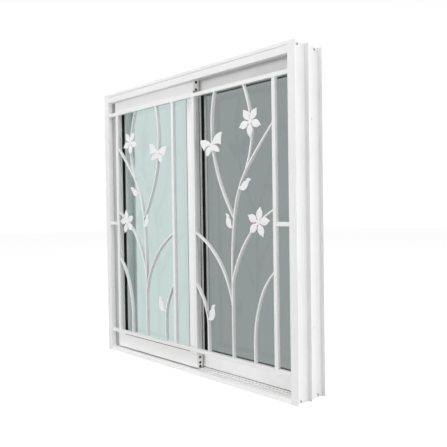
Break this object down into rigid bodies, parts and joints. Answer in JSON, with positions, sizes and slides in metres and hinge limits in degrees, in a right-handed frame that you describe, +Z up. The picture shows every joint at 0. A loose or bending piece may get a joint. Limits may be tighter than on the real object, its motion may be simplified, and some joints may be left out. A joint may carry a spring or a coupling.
{
  "type": "horizontal sliding window with ornamental grille",
  "caption": "Sliding window in a finned aluminium frame, with overlapping glazed sashes and a floral security grille in front.",
  "frame": {"origin": "middle of the footprint, on the surface that the sill stands on", "axes": "+Z up, +X along the sill to the right seen from the grille side, +Y from the grille side to the back"},
  "size_m": [1, 0.13, 1.05],
  "materials": {
    "frame_paint": "white powder coat, satin",
    "grille_paint": "white powder coat, satin",
    "clear_glass": "pale green float glass",
    "grey_glass": "grey tinted float glass",
    "black_rubber": "extruded black gasket",
    "nylon": "moulded nylon"
  },
  "bodies": {
    "root": {"front_sash_bottom_rail": "frame_paint", "front_sash_gasket": "black_rubber", "front_sash_glass": "clear_glass", "front_sash_meeting_stile": "frame_paint", "front_sash_outer_stile": "frame_paint", "front_sash_runners": "nylon", "front_sash_top_rail": "frame_paint", "grille_bottom_bar": "grille_paint", "grille_left_inner_bar": "grille_paint", "grille_left_outer_bar": "grille_paint", "grille_right_inner_bar": "grille_paint", "grille_right_outer_bar": "grille_paint", "grille_side_ties": "grille_paint", "grille_top_bar": "grille_paint", "head": "frame_paint", "left_butterfly": "grille_paint", "left_butterfly_stem": "grille_paint", "left_flowers": "grille_paint", "left_jamb": "frame_paint", "left_leaves": "grille_paint", "left_lower_inner_stem": "grille_paint", "left_lower_outer_stem": "grille_paint", "left_main_stem": "grille_paint", "left_middle_flower_stem": "grille_paint", "left_top_flower_stem": "grille_paint", "left_upper_inner_stem": "grille_paint", "rear_sash_bottom_rail": "frame_paint", "rear_sash_gasket": "black_rubber", "rear_sash_glass": "grey_glass", "rear_sash_meeting_stile": "frame_paint", "rear_sash_outer_stile": "frame_paint", "rear_sash_runners": "nylon", "rear_sash_top_rail": "frame_paint", "right_butterfly": "grille_paint", "right_butterfly_stem": "grille_paint", "right_flowers": "grille_paint", "right_jamb": "frame_paint", "right_leaves": "grille_paint", "right_lower_inner_stem": "grille_paint", "right_lower_outer_stem": "grille_paint", "right_main_stem": "grille_paint", "right_middle_flower_stem": "grille_paint", "right_top_flower_stem": "grille_paint", "right_upper_inner_stem": "grille_paint", "sill": "frame_paint"}
  },
  "joints": []
}
